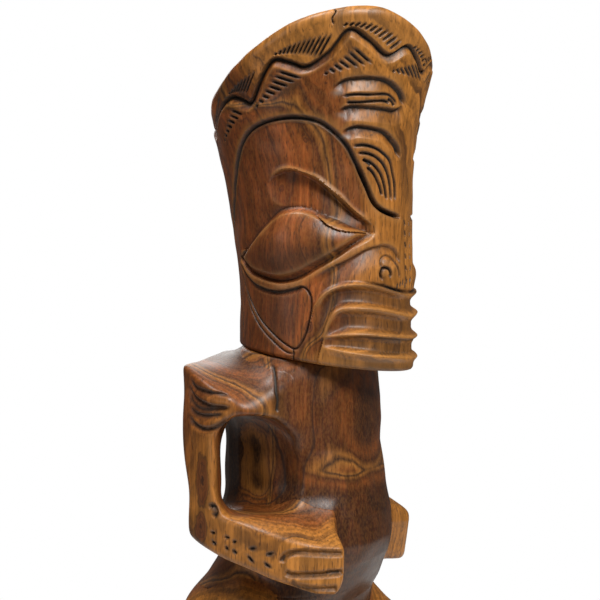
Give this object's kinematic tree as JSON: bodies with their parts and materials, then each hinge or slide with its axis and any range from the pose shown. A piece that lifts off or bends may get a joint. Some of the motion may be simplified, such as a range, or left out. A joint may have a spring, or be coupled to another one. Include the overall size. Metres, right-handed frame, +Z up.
{
  "type": "carved wooden figure",
  "caption": "Standing carved wooden tiki figure with a tall flared head, large almond eyes, ridged lips and hands resting on its belly.",
  "frame": {"origin": "centre of the plinth's underside, on the surface the figure stands on", "axes": "+Z up through the crown, -Y the way the face looks, -X towards the figure's right hand"},
  "size_m": [0.1318, 0.124, 0.399],
  "materials": {
    "plinth_wood": "satin oiled",
    "body_wood": "satin oiled",
    "head_wood": "satin oiled"
  },
  "bodies": {
    "root": {"plinth": "plinth_wood", "right_leg": "body_wood", "left_leg": "body_wood", "hips": "body_wood", "torso": "body_wood", "right_arm": "body_wood", "left_arm": "body_wood", "head": "head_wood", "crown": "head_wood"}
  },
  "joints": []
}
